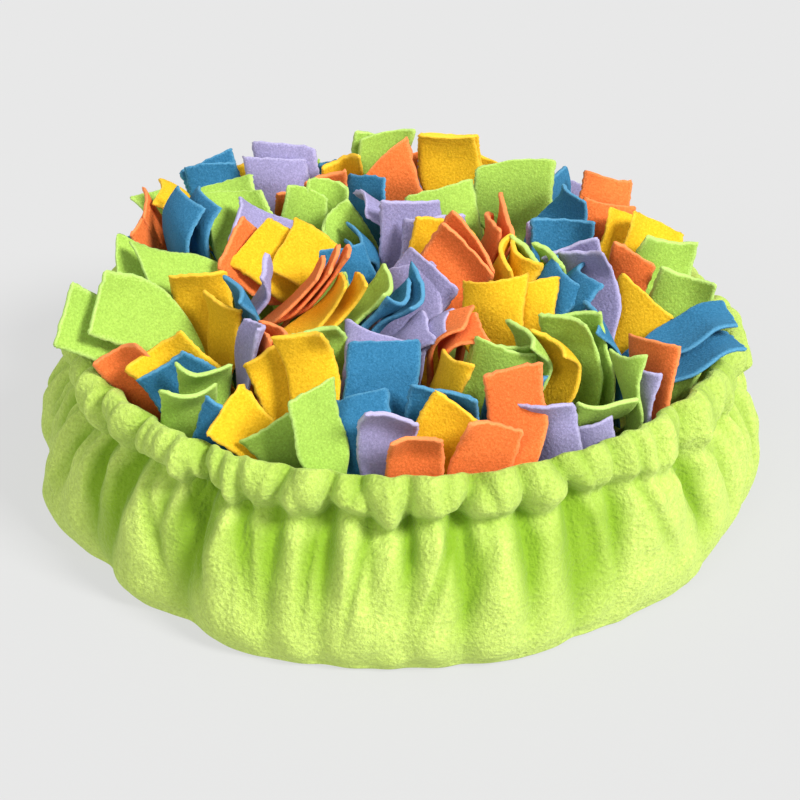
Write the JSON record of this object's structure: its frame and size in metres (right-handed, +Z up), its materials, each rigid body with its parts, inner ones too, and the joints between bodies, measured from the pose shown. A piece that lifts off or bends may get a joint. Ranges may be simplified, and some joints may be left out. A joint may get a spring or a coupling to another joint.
{
  "type": "snuffle mat",
  "caption": "Round fleece snuffle mat: a gathered soft bowl filled with standing fleece strips in mixed colours that hide dry treats.",
  "frame": {"origin": "middle of the flat underside, on the surface that the mat rests on", "axes": "+Z up out of the bowl; -Y is the front; X runs left to right seen from the front"},
  "size_m": [0.411, 0.4104, 0.1674],
  "materials": {
    "cover_green": "matt pebbled fleece",
    "strip_green": "matt fleece",
    "strip_yellow": "matt fleece",
    "strip_orange": "matt fleece",
    "strip_blue": "matt fleece",
    "strip_lavender": "matt fleece"
  },
  "bodies": {
    "root": {"cover": "cover_green", "tuft_01": "strip_yellow", "tuft_02": "strip_blue", "tuft_03": "strip_lavender", "tuft_04": "strip_yellow", "tuft_05": "strip_green", "tuft_06": "strip_yellow", "tuft_07": "strip_green", "tuft_08": "strip_orange", "tuft_09": "strip_yellow", "tuft_10": "strip_green", "tuft_11": "strip_orange", "tuft_12": "strip_blue", "tuft_13": "strip_green", "tuft_14": "strip_green", "tuft_15": "strip_blue", "tuft_16": "strip_lavender", "tuft_17": "strip_blue", "tuft_18": "strip_lavender", "tuft_19": "strip_green", "tuft_20": "strip_orange", "tuft_21": "strip_blue", "tuft_22": "strip_blue", "tuft_23": "strip_yellow", "tuft_24": "strip_green", "tuft_25": "strip_blue", "tuft_26": "strip_orange", "tuft_27": "strip_yellow", "tuft_28": "strip_green", "tuft_29": "strip_lavender", "tuft_30": "strip_lavender", "tuft_31": "strip_orange", "tuft_32": "strip_yellow", "tuft_33": "strip_green", "tuft_34": "strip_blue", "tuft_35": "strip_lavender", "tuft_36": "strip_orange", "tuft_37": "strip_green", "tuft_38": "strip_green", "tuft_39": "strip_yellow", "tuft_40": "strip_blue", "tuft_41": "strip_green", "tuft_42": "strip_yellow", "tuft_43": "strip_blue", "tuft_44": "strip_green", "tuft_45": "strip_orange", "tuft_46": "strip_yellow", "tuft_47": "strip_green", "tuft_48": "strip_yellow", "tuft_49": "strip_lavender", "tuft_50": "strip_lavender", "tuft_51": "strip_yellow", "tuft_52": "strip_orange", "tuft_53": "strip_blue", "tuft_54": "strip_green", "tuft_55": "strip_orange", "tuft_56": "strip_yellow", "tuft_57": "strip_green", "tuft_58": "strip_orange", "tuft_59": "strip_green"}
  },
  "joints": []
}
